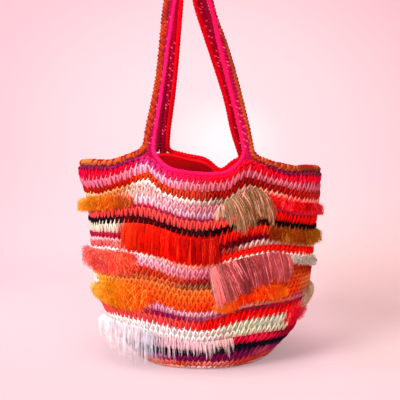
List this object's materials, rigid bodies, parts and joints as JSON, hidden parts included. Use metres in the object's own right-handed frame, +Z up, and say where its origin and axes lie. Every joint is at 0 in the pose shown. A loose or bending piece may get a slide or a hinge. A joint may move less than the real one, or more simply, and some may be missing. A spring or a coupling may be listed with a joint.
{
  "type": "handbag",
  "caption": "Soft crocheted bucket handbag in coloured rounds, with fur yarn bands, combed fringes, a cloth lining and twin shoulder straps.",
  "frame": {"origin": "on the floor under the middle of the bag, on its flat base", "axes": "+Z up along the straps, +X to the right across the wide front, +Y towards the back"},
  "size_m": [0.345, 0.2131, 0.5848],
  "materials": {
    "crochet": "matte",
    "lining": "satin",
    "strap_purple": "matte",
    "edging_orange": "matte",
    "edging_magenta": "matte",
    "edging_red": "matte",
    "fur_orange": "matte",
    "fur_red": "matte",
    "fur_tan": "matte",
    "fur_ochre": "matte",
    "fur_mauve": "matte",
    "fur_coral": "matte",
    "fur_grey": "matte",
    "fur_amber": "matte",
    "fur_flame": "matte",
    "fur_white": "matte",
    "fur_crimson": "matte",
    "fur_beige": "matte"
  },
  "bodies": {
    "root": {"crochet_body": "crochet", "lining": "lining", "front_handle": "strap_purple", "back_handle": "strap_purple", "outer_edging": "edging_orange", "front_inner_edging": "edging_magenta", "back_inner_edging": "edging_red", "fur_orange_left": "fur_orange", "fringe_red_long": "fur_red", "fringe_tan": "fur_tan", "fur_red_right": "fur_red", "fur_ochre_right": "fur_ochre", "fringe_mauve": "fur_mauve", "fur_coral_left": "fur_coral", "fur_grey_right": "fur_grey", "fur_amber_left": "fur_amber", "fur_flame_right": "fur_flame", "fringe_white": "fur_white", "fur_crimson_right": "fur_crimson", "pompom_beige": "fur_beige"}
  },
  "joints": []
}
